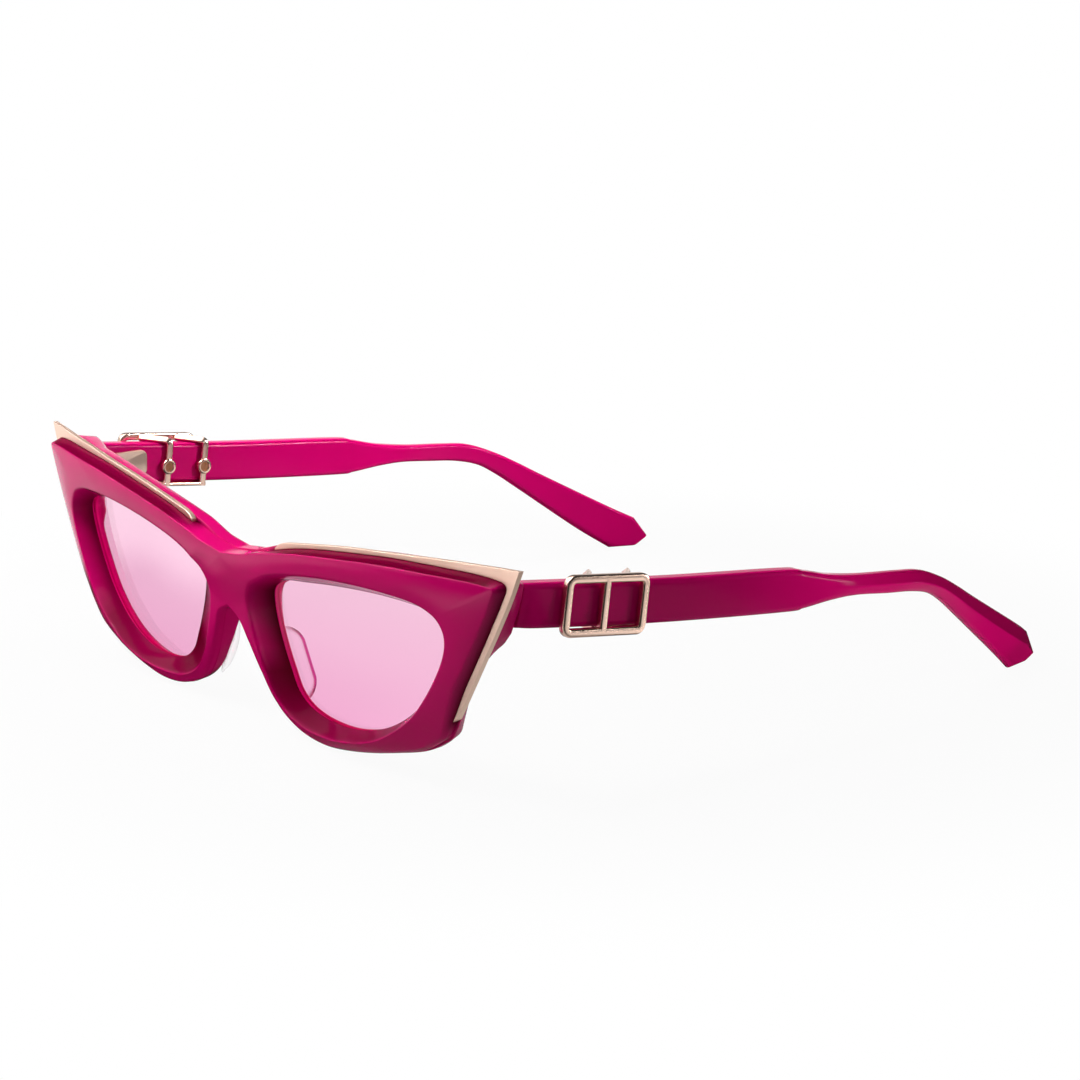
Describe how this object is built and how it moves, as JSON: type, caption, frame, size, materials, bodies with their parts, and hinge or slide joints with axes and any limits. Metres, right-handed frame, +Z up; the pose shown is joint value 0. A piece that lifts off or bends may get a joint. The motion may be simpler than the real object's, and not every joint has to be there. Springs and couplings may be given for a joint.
{
  "type": "cat eye sunglasses",
  "caption": "Cat eye sunglasses with a thick curved acetate front, tinted lenses, metal brow trims and temples that fold on screw hinges.",
  "frame": {"origin": "middle of the open glasses at table height, below the bounding box centre", "axes": "+X towards the wearer's left, +Y from the front towards the ears, +Z up, the glasses standing on their rims and temple tips"},
  "size_m": [0.1494, 0.1548, 0.0419],
  "materials": {
    "acetate": "polished",
    "lens": "polished, see-through",
    "crystal": "polished, see-through",
    "gold": "polished plating",
    "steel": "satin"
  },
  "bodies": {
    "front": {"front_frame": "acetate", "lens_left": "lens", "lens_right": "lens", "brow_trim_left": "gold", "brow_trim_right": "gold", "trim_pins_left": "steel", "trim_pins_right": "steel", "nose_pad_left": "crystal", "nose_pad_right": "crystal", "hinge_front_left": "gold", "hinge_front_right": "gold", "hinge_screw_left": "steel", "hinge_screw_right": "steel"},
    "left_temple": {"temple_left": "acetate", "core_wire_left": "steel", "hinge_temple_left": "gold", "clasp_buckle_left": "gold", "clasp_clamp_left": "gold", "clasp_screws_left": "steel"},
    "right_temple": {"temple_right": "acetate", "core_wire_right": "steel", "hinge_temple_right": "gold", "clasp_buckle_right": "gold", "clasp_clamp_right": "gold", "clasp_screws_right": "steel"}
  },
  "joints": [
    {"name": "left_fold", "type": "hinge", "parent": "front", "child": "left_temple", "pos_m": [0.065, -0.06205, 0.0332], "axis": [0, 0, 1], "range_deg": [0, 88]},
    {"name": "right_fold", "type": "hinge", "parent": "front", "child": "right_temple", "pos_m": [-0.065, -0.06205, 0.0332], "axis": [0, 0, -1], "range_deg": [0, 79.5]}
  ]
}
